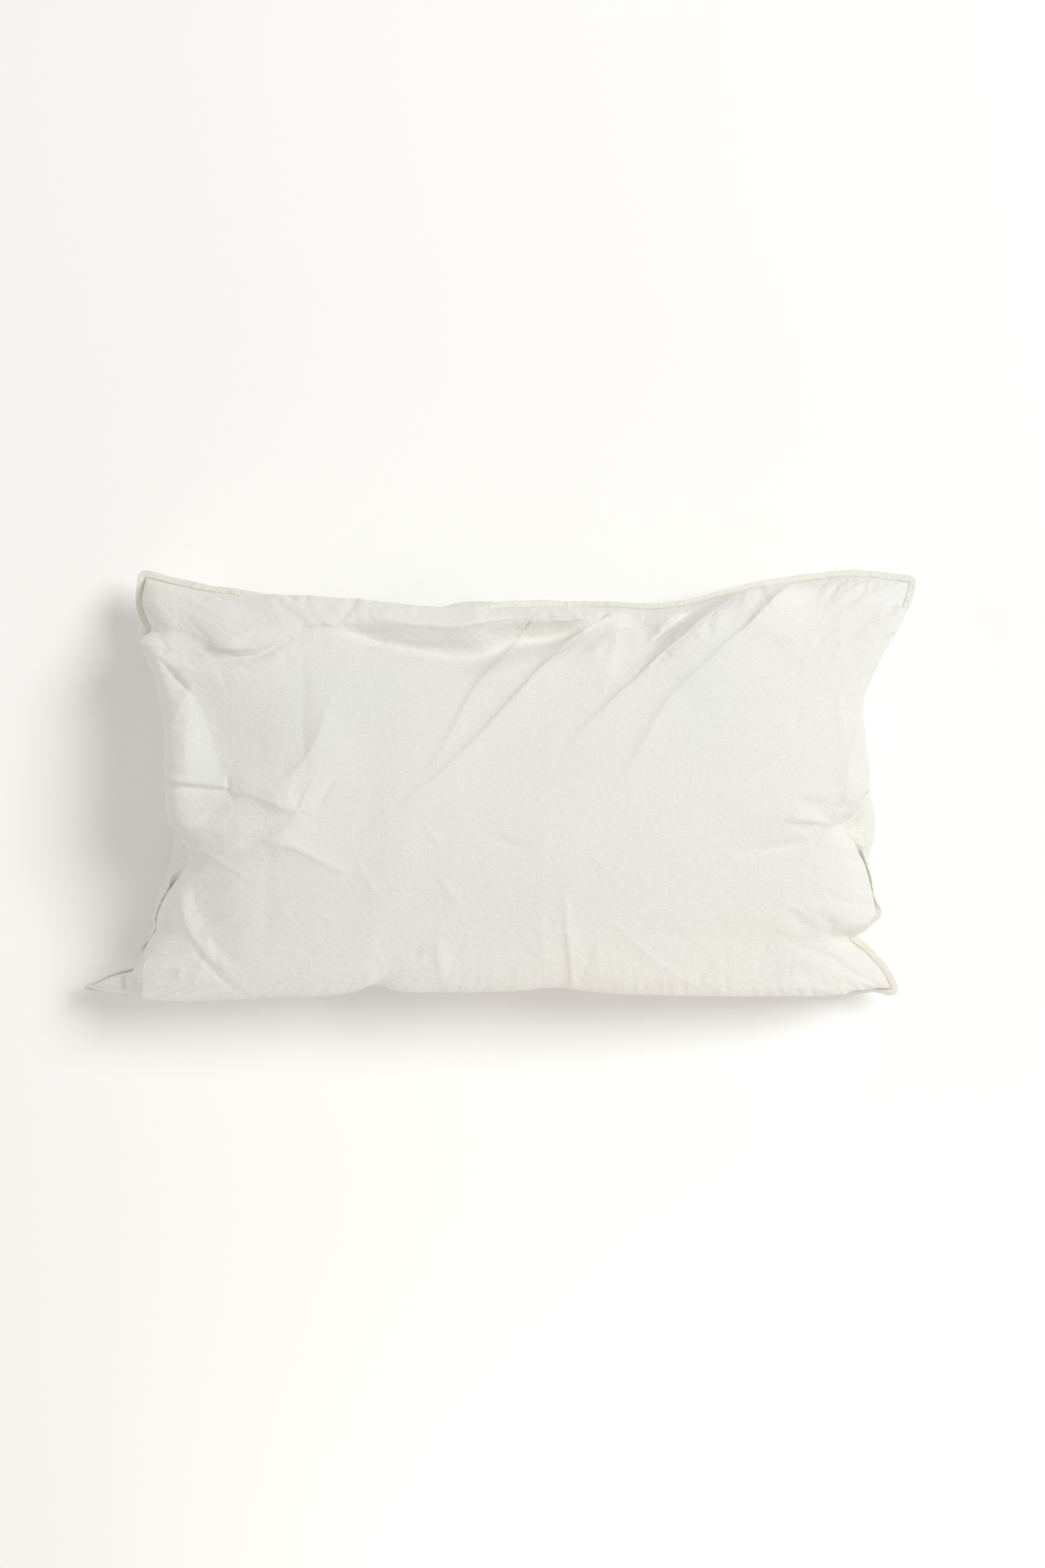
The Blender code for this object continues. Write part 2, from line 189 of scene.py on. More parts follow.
FOLDS = (
    # The slack strip under the top seam stands up as a roll, with a sharp trough below it.
    Fold(4, 12, 0, ((-312, 151, 2), (-300, 154, 4), (-282, 161, 5.5), (-262, 169.5, 6), (-240, 174.5, 6),
                    (-215, 175, 6), (-185, 175, 5), (-160, 176, 0))),
    Fold(12, 18, 0, ((-245, 171, 1), (-215, 173, 4), (-185, 177, 8), (-160, 180, 12), (-130, 178, 15),
                     (-100, 174, 18), (-70, 171, 20), (-45, 171, 21), (-20, 175, 23), (10, 179, 26),
                     (50, 182, 27), (85, 184, 26), (120, 189, 22), (160, 192, 18), (185, 190, 10),
                     (205, 186, 0))),
    Fold(18, 20, 0, ((-172, 168, -2), (-150, 161, -8), (-120, 153, -12), (-90, 147, -16), (-60, 141, -20),
                     (-35, 139, -24), (-12, 143, -26), (6, 150, -30), (24, 156, -33), (50, 159, -33),
                     (80, 163, -32), (104, 170, -26), (122, 174, -21), (142, 172, -20), (162, 167, -18),
                     (180, 166, -9), (196, 164, 0)), False),
    Fold(4, 12, 0, ((-168, 168, 0), (-145, 155, -2), (-120, 144, -3), (-90, 138, -1.5), (-70, 141, 0))),
    Fold(6, 18, 0, ((-318, 149, 1), (-304, 147.5, 4.5), (-282, 147, 7.5), (-262, 149, 8), (-245, 156, 7.5),
                    (-228, 166, 5), (-214, 171, 1))),
    Fold(8, 10, 0, ((-214, 165, -1), (-230, 157, -4), (-246, 148, -7), (-262, 141, -9), (-280, 138.5, -10),
                    (-300, 138, -10), (-330, 138.5, -8), (-356, 140, -4))),
    Fold(12, 7, 0, ((-366, 131, 2), (-336, 127.5, 4.5), (-300, 127, 5.5), (-272, 130, 5.5), (-250, 138, 4.5),
                    (-232, 149, 3), (-216, 161, 0))),
    Fold(26, 26, 0, ((-352, 210, 0), (-336, 200, 3), (-322, 190, 5), (-309, 180, 6), (-300, 168, 5),
                     (-297, 157, 2)), False),
    # Creases and the roll down the left side.
    Fold(4, 5, 0, ((-369, 136, -1), (-355, 121, -5), (-343, 107, -5), (-332, 98, -1))),
    Fold(16, 26, 0, ((-372, 142, 1), (-361, 114, 4), (-352, 82, 8), (-350, 50, 10), (-349, 20, 10),
                     (-350, -5, 9), (-348, -25, 6), (-343, -42, 2)), False),
    Fold(42, 18, 0, ((-297, 4, -4), (-303, 25, -8), (-311, 55, -8), (-322, 86, -5), (-336, 112, 0)),
         False),
    Fold(2.5, 4, 0, ((-362, -1, -3), (-345, -2, -4.5), (-320, -5, -4.5), (-297, -7, -4))),
    Fold(3, 5, 0, ((-360, 4, 2), (-340, 3, 3), (-318, 1, 1))),
    Fold(3, 3, 0, ((-294, -9, -1), (-293, 0, -3), (-295, 10, -1))),
    Fold(7, 25, 0, ((-293, -4, 2), (-270, -10, 4.5), (-250, -17, 5.5), (-230, -25, 5), (-220, -27, 2))),
    Fold(9, 26, 0, ((-219, -27, 3), (-226, -41, 4.5), (-239, -52, 4), (-257, -61, 1))),
    Fold(13, 36, 0, ((-188, 82, 1), (-195, 57, 5), (-206, 35, 7), (-221, 15, 7), (-240, 2, 5),
                     (-264, -1, 1))),
    Fold(6, 9, 0, ((-325, -41, -1), (-307, -27, -3.5), (-288, -14, -2.5))),
    Fold(9, 10, 0, ((-338, -42, 1), (-300, -49, 2), (-255, -55, 1))),
    Fold(5, 9, 0, ((-258, -59, 1), (-235, -64, 3.4), (-210, -73, 3.6), (-188, -85, 2.4), (-160, -95, 0))),
    Fold(34, 9, 0, ((-213, 142, -0.5), (-214, 100, -2.2), (-214, 60, -2.6), (-212, 30, -1.6), (-206, 8, 0))),
    Fold(3, 6, 0, ((-196, -27, -1), (-186, -6, -1.8), (-176, 12, 0))),
    Fold(3, 6, 0, ((-166, -61, 0), (-145, -43, -1.2), (-122, -23, 0))),
    Fold(3, 4, 0, ((-331, -65, 1), (-300, -84, 1.6), (-266, -106, 0))),
    # The roll and hollow in the lower left.
    Fold(9, 26, 0, ((-340, -84, 1), (-350, -104, 3), (-358, -125, 4.5), (-363, -145, 4), (-367, -160, 2),
                    (-370, -172, 0))),
    Fold(7, 56, 0.4, ((-366, -132, 0), (-371, -152, 3), (-376, -172, 7), (-380, -190, 11), (-382, -206, 14),
                      (-382, -232, 14))),
    Fold(5, 14, 0, ((-344, -114, 0), (-343.5, -128, 2.4), (-340, -145, 3.8), (-333, -162, 4.2),
                    (-321, -178, 3.6), (-306, -193, 2), (-288, -204, 0))),
    Fold(12, 26, 0, ((-338, -92, -1), (-332, -115, -3), (-326, -138, -4), (-318, -157, -4), (-303, -178, -3),
                     (-286, -193, -1))),
    Fold(3, 6, 0, ((-334, -172, -1), (-318, -191, -2.2), (-303, -207, -2.2), (-286, -221, -1.6),
                   (-268, -229, 0))),
    Fold(60, 12, 0, ((-252, -62, -0.5), (-253, -110, -1.4), (-254, -150, -1.4), (-256, -188, 0))),
    # Diagonal rolls drawn from the top right corner.
    Fold(4.5, 26, 0, ((26, 168, 5), (9, 145, 7.5), (-6, 129, 7), (-19, 117, 4.5), (-33, 97, 2.6),
                      (-50, 64, 1.8), (-72, 26, 1), (-92, 0, 0))),
    Fold(5.5, 34, 0, ((106, 178, 7), (92, 169, 13), (76, 157, 13), (49, 132, 8), (20, 101, 6),
                      (-3, 76, 5), (-22, 55, 3.6), (-46, 32, 2.8), (-74, 5, 2.2), (-90, -5, 1.8),
                      (-106, -25, 0))),
    Fold(8, 16, 0, ((110, 98, 0), (116, 116, 1.6), (122, 140, 2.2), (126, 164, 2.2), (129, 180, 1))),
    Fold(9, 45, 0.25, ((280, 213, 8), (264, 206, 18), (246, 194, 23), (219, 172, 27), (198, 156, 23),
                       (172, 137, 14), (150, 116, 8), (126, 96, 5), (106, 76, 3), (88, 58, 1.6),
                       (70, 40, 0))),
    Fold(5, 14, 0, ((262, 214, -4), (232, 200, -9), (208, 187, -10), (186, 172, -6), (166, 156, -2))),
    Fold(12, 34, 0.15, ((326, 224, 6), (309, 210, 19), (297, 198, 24), (284, 183, 23), (268, 167, 14),
                     (247, 150, 8), (219, 125, 4.5), (194, 105, 4), (171, 77, 3.4), (156, 50, 2.4),
                     (142, 25, 1.4), (126, 0, 0.8), (114, -14, 0))),
    Fold(3, 6, 0, ((318, 224, -1), (342, 223, -2), (362, 221, -2), (385, 216, -2), (405, 209, -2),
                   (425, 203, -2), (443, 199, -1))),
    # The trough to the pinch in the right seam, and the step beside it.
    Fold(3.5, 15, 0, ((250, -78, 0), (265, -73, -2.6), (282, -69, -4.5), (300, -67, -6), (320, -63, -7.5),
                      (335, -58, -8), (350, -50, -8), (362, -44, -7), (374, -38, -4))),
    Fold(14, 14, 0, ((235, -36, 0), (262, -33, 2), (300, -34, 3), (340, -38, 4), (358, -40, 3))),
    Fold(9, 9, 0, ((318, -20, 0), (345, -22, -2), (366, -24, -3))),
    Fold(5, 22, 0, ((392, 84, 0), (385, 62, 2), (380, 44, 2.5), (375, 20, 3), (373, 0, 3.5), (373, -10, 4),
                    (368, -22, 4), (362, -32, 4), (356, -41, 2))),
    # The lower right: cloth rolled over the corner's ear.
    Fold(5, 30, 0, ((290, -206, 0), (312, -195, 2.5), (332, -183, 3.5), (352, -173, 4), (380, -160, 5))),
    Fold(8, 9, 0, ((244, -192, 0), (285, -186, -1.6), (328, -178, 0))),
    Fold(8, 12, 0, ((246, -221, 0), (300, -211, -1.8), (350, -200, -1.4), (398, -192, 0))),
    # Small puckers above the lower side and faint creases across the middle.
    Fold(5, 12, 0, ((-70, -164, 0), (-68, -180, 2.4), (-66, -196, 3), (-62, -214, 1))),
    Fold(5, 7, 0, ((42, -130, 0), (45, -160, 1.2), (49, -205, 0.4))),
    Fold(4, 8, 0, ((69, -108, 0), (70, -140, 1.6), (73, -170, 2.4), (77, -212, 1))),
    Fold(4, 6, 0, ((103, -164, 0), (104, -186, 1.1), (106, -206, 0))),
    Fold(3, 5, 0, ((-70, -88, 0), (-60, -108, 0.9), (-49, -123, 1.3), (-37, -128, 0))),
    Fold(3, 4, 0, ((98, -128, 0), (138, -164, 0.9), (172, -193, 1.1), (212, -218, 0.5))),
    Fold(3, 5, 0, ((-24, -49, 0), (0, -60, -1.3), (20, -66, -1.3), (44, -69, 0))),
    Fold(8, 16, 0, ((98, -91, 0), (150, -76, 1), (230, -48, 1.4), (262, -34, 0))),
    Fold(3, 8, 0, ((214, -219, -1), (221, -200, -2), (234, -188, 0))),
    Fold(4, 6, 0, ((-386, 206, -2), (-379, 184, -5), (-370, 165, -6), (-362, 150, -1))),
    Fold(2.5, 4, 0, ((-405, -198, -5), (-406, -211, -8), (-406, -226, -5))),
)

# Where the filling has sunk or gathered.
Mound = namedtuple("Mound", "x y reach_x reach_y lift")

MOUNDS = (
    Mound(-338, 168, 26, 28, -8),
    Mound(-262, 182, 30, 10, -4),
    Mound(-268, 55, 34, 55, -4),
    Mound(-316, -125, 24, 34, -2),
    Mound(10, -60, 190, 70, 6),
    Mound(240, 20, 120, 120, 3),
)

# The folds' points are where their lines are seen from straight above, at this height over the seam.
EYE_HEIGHT = 3290.0
SEAM_LEVEL = 80.0
CREST_ROUNDING = 0.9
# Towards its ends, where a fold is low, it is narrow too.
LEAST_WIDTH = 0.25
WIDTH_POWER = 0.6
# A flank whose power is below 1 leaves a sharp crest, and above 1 a round one.
STEEP_POWER = 0.85
GENTLE_POWER = 1.6
# Crest lines are read off this often, and folds have their full lift where the crown has risen by this share.
FOLD_STEP = 9.0
FOLD_START_SHARE = 0.34
# A fold moves nothing further off than this many times its reach.
FOLD_LIMIT = 3.5


def reader(side, column):
    """A smooth curve through one column of a side's stations."""
    along = np.array([station.along for station in side], float)
    value = np.array([getattr(station, column) for station in side], float)
    slope = np.gradient(value, along)

    def read(at):
        index = np.clip(np.searchsorted(along, at) - 1, 0, len(along) - 2)
        span = along[index + 1] - along[index]
        part = (at - along[index]) / span
        rise = part * part * (3 - 2 * part)
        ease_in = part * (1 - part) ** 2
        ease_out = part * part * (part - 1)
        eased = slope[index] * ease_in + slope[index + 1] * ease_out
        return value[index] * (1 - rise) + value[index + 1] * rise + span * eased

    return read


def side_reading(side, column, share):
    """The column where a fraction of the side, 0 to 1, has been passed."""
    return reader(side, column)(side[0].along + share * (side[-1].along - side[0].along))


def even_line(side, column, share):
    """The same column along a straight line from the side's first station to its last."""
    first = getattr(side[0], column)
    return first + share * (getattr(side[-1], column) - first)


def base_sheet(across, up):
    """The place of each point on a sheet stretched over the seam: x, y and level."""
    x = even_line(LEFT_SIDE, "across", up) * (1 - across) + even_line(RIGHT_SIDE, "across", up) * across
    y = even_line(BOTTOM_SIDE, "across", across) * (1 - up) + even_line(TOP_SIDE, "across", across) * up
    bottom_level = side_reading(BOTTOM_SIDE, "level", across)
    level = bottom_level + up * (side_reading(TOP_SIDE, "level", across) - bottom_level)
    for side, far in ((LEFT_SIDE, 1 - across), (RIGHT_SIDE, across)):
        x = x + (side_reading(side, "across", up) - even_line(side, "across", up)) * far**OUTLINE_FADE
        level = level + (side_reading(side, "level", up) - even_line(side, "level", up)) * far**LEVEL_FADE
    for side, far in ((BOTTOM_SIDE, 1 - up), (TOP_SIDE, up)):
        y = y + (side_reading(side, "across", across) - even_line(side, "across", across)) * far**OUTLINE_FADE
    return x, y, level


def crown(across, up):
    """How full the cushion is, from 0 on the seam to 1 at its thickest."""
    s = 2 * across - 1
    t = 2 * up - 1
    s = s - CROWN_DRIFT * (1 - s * s)
    full = (1 - np.abs(s) ** SQUARENESS_ALONG) * (1 - np.abs(t) ** SQUARENESS_ACROSS)
    fall = FALL_SHARE * np.clip(s - FALL_START, 0, 1)
    return np.clip(full, 0, 1) ** CROWN_STEEPNESS * (1 - fall)


def swell(across, up, column):
    """How far each point is carried out past the seam by the bulging sides, as shifts in x and y."""

    def bulge(side, share, inwards, length):
        depth = inwards * length / SWELL_REACH
        past_seam = side_reading(side, column, share)
        carried = past_seam + SWELL_CARRY * np.clip(past_seam / SWELL_ONSET, 0, 1)
        return carried * depth * np.exp(1 - depth)

    shift_x = bulge(RIGHT_SIDE, up, 1 - across, CUT_LENGTH) - bulge(LEFT_SIDE, up, across, CUT_LENGTH)
    shift_y = bulge(TOP_SIDE, across, 1 - up, CUT_WIDTH) - bulge(BOTTOM_SIDE, across, up, CUT_WIDTH)
    risen = np.clip(crown(across, up) / RISEN_SHARE, 0, 1)
    return shift_x * risen, shift_y * risen


def rounded_way(points):
    """A fold's points joined by a smooth curve and read off every few millimetres."""
    points = np.array(points, float)
    walked = np.concatenate([[0], np.cumsum(np.hypot(*np.diff(points[:, :2], axis=0).T))])
    at = np.linspace(0, walked[-1], max(3, int(walked[-1] / FOLD_STEP)))
    slope = np.gradient(points, walked, axis=0)
    index = np.clip(np.searchsorted(walked, at) - 1, 0, len(walked) - 2)
    span = (walked[index + 1] - walked[index])[:, None]
    part = (at - walked[index])[:, None] / span
    rise = part * part * (3 - 2 * part)
    eased = slope[index] * part * (1 - part) ** 2 + slope[index + 1] * part * part * (part - 1)
    return points[index] * (1 - rise) + points[index + 1] * rise + span * eased


def fold_shift(fold, x, y):
    """How one fold moves each point: along x and y where its crest leans over, and up."""
    way = rounded_way(fold.points)
    margin = FOLD_LIMIT * max(fold.steep, fold.gentle)
    near = (x > way[:, 0].min() - margin) & (x < way[:, 0].max() + margin)
    near &= (y > way[:, 1].min() - margin) & (y < way[:, 1].max() + margin)
    moved = np.zeros(x.shape + (3,))
    x, y = x[near], y[near]
    highest = np.abs(way[:, 2]).max()
    best = np.full(x.shape, np.inf)
    shift = np.zeros(x.shape + (3,))
    for (ax, ay, a_lift), (bx, by, b_lift) in zip(way, way[1:]):
        run_x, run_y = bx - ax, by - ay
        run = np.hypot(run_x, run_y)
        part = np.clip(((x - ax) * run_x + (y - ay) * run_y) / run**2, 0, 1)
        off_x = x - ax - part * run_x
        off_y = y - ay - part * run_y
        distance = np.hypot(off_x, off_y)
        on_left = run_x * off_y - run_y * off_x > 0
        power = np.where(on_left, GENTLE_POWER, STEEP_POWER if fold.crisp else GENTLE_POWER)
        soft = np.sqrt(distance**2 + CREST_ROUNDING**2) - CREST_ROUNDING
        top = a_lift + part * (b_lift - a_lift)
        slim = np.clip(np.abs(top) / highest, LEAST_WIDTH, 1) ** WIDTH_POWER
        reach = np.where(on_left, fold.gentle, fold.steep) * slim
        lift = top * np.exp(-((soft / reach) ** power))
        here = np.stack([lift * fold.lean * run_y / run, -lift * fold.lean * run_x / run, lift], axis=-1)
        nearer = distance < best
        best = np.where(nearer, distance, best)
        shift = np.where(nearer[:, None], here, shift)
    moved[near] = shift
    return moved


# Washing leaves short random creases. Each patch says how many it holds, where they are, their heading in
# degrees, how far they turn from it, and their lift.
Creases = namedtuple("Creases", "count x y spread_x spread_y heading turn lift")

CREASES = (
    Creases(26, -20, 158, 170, 16, 4, 14, 0.9),
    Creases(22, -290, 40, 70, 110, -30, 60, 0.8),
    Creases(26, -60, -120, 260, 80, -20, 50, 0.6),
    Creases(9, -330, 90, 40, 40, 50, 60, 0.6),
    Creases(16, 360, 130, 40, 70, 75, 25, 0.8),
    Creases(20, 100, 40, 240, 120, 50, 40, 0.35),
    Creases(14, 280, -170, 110, 50, 20, 40, 0.7),
    Creases(18, 0, -195, 330, 25, 85, 20, 0.9),
)

CREASE_SEED = 90
CREASE_HALF_LENGTH = (9, 34)
CREASE_BOW = 0.15
CREASE_LIFT_SHARE = (0.5, 1.5)
CREASE_STEEP = (2.0, 3.5)
CREASE_GENTLE_SHARE = (1.2, 2.6)


def random_creases():
    """Every crease of the patches, as a low fold of three points."""
    draw = random.Random(CREASE_SEED)
    made = []
    for patch in CREASES:
        for _ in range(patch.count):
            x = patch.x + draw.uniform(-1, 1) * patch.spread_x
            y = patch.y + draw.uniform(-1, 1) * patch.spread_y
            heading = np.radians(patch.heading + draw.uniform(-1, 1) * patch.turn)
            half = draw.uniform(*CREASE_HALF_LENGTH)
            bow = draw.uniform(-CREASE_BOW, CREASE_BOW) * half
            run_x, run_y = half * np.cos(heading), half * np.sin(heading)
            lift = patch.lift * draw.uniform(*CREASE_LIFT_SHARE) * draw.choice((-1, 1))
            middle = (x - bow * np.sin(heading), y + bow * np.cos(heading), lift)
            steep = draw.uniform(*CREASE_STEEP)
            way = ((x - run_x, y - run_y, 0), middle, (x + run_x, y + run_y, 0))
            made.append(Fold(steep, steep * draw.uniform(*CREASE_GENTLE_SHARE), 0, way))
    return made


# Along the seam the cloth is gathered by the stitching into small puckers that die away inwards.
PUCKER_REACH = 9.0
PUCKERED_WIDTH = 63.0
PUCKER_SPACING = 9.0
PUCKER_DRIFT = 0.25
PUCKER_LIFT = 1.5


def puckers(across, up, layer):
    """The lift of the gathers beside the seam."""
    lift = np.zeros(across.shape)
    sides = (
        (up * CUT_WIDTH, across * CUT_LENGTH),
        (up * CUT_WIDTH, (1 - across) * CUT_LENGTH),
        (across * CUT_LENGTH, up * CUT_WIDTH),
        (across * CUT_LENGTH, (1 - up) * CUT_WIDTH),
    )
    for number, (along, inwards) in enumerate(sides):
        near = inwards < PUCKERED_WIDTH
        depth = inwards[near] / PUCKER_REACH
        wave = np.array([
            noise.noise((a / PUCKER_SPACING, d * PUCKER_DRIFT, 10.0 * layer + number))
            for a, d in zip(along[near], depth)
        ])
        lift[near] += wave * PUCKER_LIFT * depth * np.exp(1 - depth)
    return lift


def front_panel(across, up, creases=()):
    """The front's points, in millimetres."""
    x, y, level = base_sheet(across, up)
    full = crown(across, up)
    shift_x, shift_y = swell(across, up, "front_swell")
    inside = np.clip(full / FOLD_START_SHARE, 0, 1)[..., None]
    z = level + RIM_THICKNESS / 2 + FRONT_CROWN * full + puckers(across, up, 0)
    nearness = EYE_HEIGHT / (EYE_HEIGHT + SEAM_LEVEL - z)
    seen_x, seen_y = (x + shift_x) * nearness, (y + shift_y) * nearness
    moved = sum(fold_shift(fold, seen_x, seen_y) for fold in FOLDS + tuple(creases)) * inside
    for mound in MOUNDS:
        spread = ((seen_x - mound.x) / mound.reach_x) ** 2 + ((seen_y - mound.y) / mound.reach_y) ** 2
        moved[..., 2] += mound.lift * np.exp(-spread) * inside[..., 0]
    return np.stack([x + shift_x, y + shift_y, z], axis=-1) + moved


def back_panel(across, up):
    """The back's points, in millimetres: a shallower crown, pressed flat where it rests."""
    x, y, level = base_sheet(across, up)
    shift_x, shift_y = swell(across, up, "back_swell")
    z = level - RIM_THICKNESS / 2 - BACK_CROWN * crown(across, up) + puckers(across, up, 1)
    return np.stack([x + shift_x, y + shift_y, np.maximum(z, 0)], axis=-1)


CROWDING = 0.3


def grid_shares(count):
    """Fractions 0 to 1 along a side, closer together towards its ends."""
    even = np.linspace(0, 1, count + 1)
    return even + CROWDING * ((1 - np.cos(np.pi * even)) / 2 - even)


def add_panel(name, columns, rows, shape):
    """A grid of cloth whose points are placed by its shape, with its flat cut as a UV map."""
    bpy.ops.object.select_all(action="DESELECT")
    bpy.ops.mesh.primitive_grid_add(x_subdivisions=columns, y_subdivisions=rows, size=2)
    panel = bpy.context.object
    panel.name = name
    mesh = panel.data
    flat = np.empty(len(mesh.vertices) * 3)
    mesh.vertices.foreach_get("co", flat)
    flat = flat.reshape(-1, 3)
    column = np.rint((flat[:, 0] + 1) / 2 * columns).astype(int)
    row = np.rint((flat[:, 1] + 1) / 2 * rows).astype(int)
    across, up = grid_shares(columns)[column], grid_shares(rows)[row]
    mesh.vertices.foreach_set("co", (shape(across, up) * MM).ravel())
    corner = np.empty(len(mesh.loops), int)
    mesh.loops.foreach_get("vertex_index", corner)
    cut = mesh.uv_layers[0]
    cut.name = "flat_cut"
    laid = np.stack([across * CUT_LENGTH * MM, up * CUT_WIDTH * MM], axis=-1)
    cut.data.foreach_set("uv", laid[corner].ravel())
    mesh.update()
    return panel


def sew_panels(name, columns, rows, front_shape, back_shape):
    """The front and the back, half as fine, joined all round their edges into one closed cover."""
    front = add_panel("front", columns, rows, front_shape)
    add_panel("back", columns // 2, rows // 2, back_shape)
    bpy.ops.object.mode_set(mode="EDIT")
    bpy.ops.mesh.select_all(action="SELECT")
    bpy.ops.mesh.flip_normals()
    bpy.ops.object.mode_set(mode="OBJECT")
    front.select_set(True)
    bpy.context.view_layer.objects.active = front
    bpy.ops.object.join()
    front.name = name
    bpy.ops.object.mode_set(mode="EDIT")
    bpy.ops.mesh.select_all(action="DESELECT")
    bpy.ops.mesh.select_mode(type="EDGE")
    bpy.ops.mesh.select_non_manifold(extend=False)
    bpy.ops.mesh.bridge_edge_loops()
    bpy.ops.mesh.select_all(action="SELECT")
    bpy.ops.mesh.normals_make_consistent(inside=False)
    bpy.ops.object.mode_set(mode="OBJECT")
    bpy.ops.object.shade_smooth()
    return front


# Filling the cover: the seam and the resting face are held, and the cloth, cut a little too large for the
# shape, is blown out by the fibre, so that it buckles beside the seam and along the folds.
SIM_COLUMNS = 220
SIM_ROWS = 120
SIM_FRAMES = 22
FIBRE_PRESSURE = 4.0
SPARE_CLOTH = 0.015
HELD_FULLNESS = 0.02
HELD_HEIGHT = 0.5
MOST_SHIFT = 6.0
WRINKLE_REACH = 4


def point_places(mesh):
    """A mesh's points as rows of x, y and z, in metres."""
    place = np.empty(len(mesh.vertices) * 3)
    mesh.vertices.foreach_get("co", place)
    return place.reshape(-1, 3)


def blurred(field, reach):
    """A grid of shifts averaged over its neighbours, along both ways of the cloth."""
    window = np.hanning(2 * reach + 3)[1:-1]
    window /= window.sum()
    for axis in (0, 1):
        first = np.repeat(field.take([0], axis), reach, axis)
        last = np.repeat(field.take([-1], axis), reach, axis)
        count = field.shape[axis]
        longer = np.concatenate([first, field, last], axis)
        field = sum(weight * longer.take(range(k, k + count), axis) for k, weight in enumerate(window))
    return field


def simulated_wrinkles():
    """How the front's cloth shifts as it is filled, less the broad swelling: a grid of millimetres."""
    cloth = sew_panels("cloth_being_filled", SIM_COLUMNS, SIM_ROWS, front_panel, back_panel)
    start = point_places(cloth.data)
    held = cloth.vertex_groups.new(name="held")
    across, up = np.meshgrid(grid_shares(SIM_COLUMNS), grid_shares(SIM_ROWS))
    front_count = (SIM_COLUMNS + 1) * (SIM_ROWS + 1)
    low = np.nonzero(start[:, 2] < HELD_HEIGHT * MM)[0]
    seam = np.nonzero(crown(across, up).ravel() < HELD_FULLNESS)[0]
    back_rim = [
        front_count + row * (SIM_COLUMNS // 2 + 1) + column
        for row in range(SIM_ROWS // 2 + 1)
        for column in range(SIM_COLUMNS // 2 + 1)
        if row in (0, SIM_ROWS // 2) or column in (0, SIM_COLUMNS // 2)
    ]
    held.add(low.tolist() + seam.tolist() + back_rim, 1.0, "REPLACE")
    filling = cloth.modifiers.new("filling", "CLOTH")
    cotton = filling.settings
    cotton.quality = 6
    cotton.mass = 0.12
    cotton.tension_stiffness = 20
    cotton.compression_stiffness = 8
    cotton.shear_stiffness = 4
    cotton.bending_stiffness = 0.05
    cotton.use_pressure = True
    cotton.uniform_pressure_force = FIBRE_PRESSURE
    cotton.vertex_group_mass = "held"
    cotton.shrink_min = -SPARE_CLOTH
    cotton.effector_weights.gravity = 0
    filling.point_cache.frame_start = 1
    filling.point_cache.frame_end = SIM_FRAMES
    for number in range(1, SIM_FRAMES + 1):
        bpy.context.scene.frame_set(number)
    bpy.ops.object.modifier_apply(modifier="filling")
    bpy.context.scene.frame_set(1)
    shift = (point_places(cloth.data) - start)[:front_count] / MM
    bpy.data.objects.remove(cloth)
    length = np.linalg.norm(shift, axis=1, keepdims=True)
    shift *= np.minimum(1, MOST_SHIFT / np.maximum(length, 0.001))
    shift = shift.reshape(SIM_ROWS + 1, SIM_COLUMNS + 1, 3)
    return shift - blurred(shift, WRINKLE_REACH)


def read_grid(grid, across, up):
    """A grid of shifts read between its points, which lie as the panels' do."""
    rows, columns = grid.shape[0] - 1, grid.shape[1] - 1
    column = np.interp(across, grid_shares(columns), np.arange(columns + 1))
    row = np.interp(up, grid_shares(rows), np.arange(rows + 1))
    left = np.minimum(column.astype(int), columns - 1)
    low = np.minimum(row.astype(int), rows - 1)
    along, rise = (column - left)[..., None], (row - low)[..., None]
    below = grid[low, left] * (1 - along) + grid[low, left + 1] * along
    above = grid[low + 1, left] * (1 - along) + grid[low + 1, left + 1] * along
    return below * (1 - rise) + above * rise


COVER_COLUMNS = 560
COVER_ROWS = 306
wrinkles = simulated_wrinkles()
creases = random_creases()
cover = sew_panels(
    "cotton_cover", COVER_COLUMNS, COVER_ROWS,
    lambda across, up: front_panel(across, up, creases) + read_grid(wrinkles, across, up),
    back_panel,
)


def linear(hex_colour):
    """An sRGB hex colour as linear red, green, blue and alpha."""
    value = [int(hex_colour[i : i + 2], 16) / 255 for i in (0, 2, 4)]
    return [v / 12.92 if v <= 0.04045 else ((v + 0.055) / 1.055) ** 2.4 for v in value] + [1.0]


def add_node(tree, kind, settings=None, values=None, links=None):
    """Adds a node with its settings, its input values and its links from other nodes' outputs."""
    node = tree.nodes.new(kind)
    for name, value in (settings or {}).items():
        setattr(node, name, value)
    for name, value in (values or {}).items():
        node.inputs[name].default_value = value
    for name, source in (links or {}).items():
        tree.links.new(source, node.inputs[name])
    return node


# Washed plain-weave cotton: fibre with no gloss, slubs in the yarn, and fine crinkles left by washing.
# Real threads lie 0.35 mm apart; they are drawn 0.9 mm apart, the finest that shows. Slubs and crinkles are
# so many to the metre.
THREAD = 0.0009
WEFT_SLUBS = 90.0
WARP_SLUBS = 140.0
CRINKLES_ACROSS = 60.0
CRINKLES_ALONG = 330.0
COTTON = "EAEAE6"
COTTON_WARM = "EBEAE5"
COTTON_COOL = "E9EAE7"


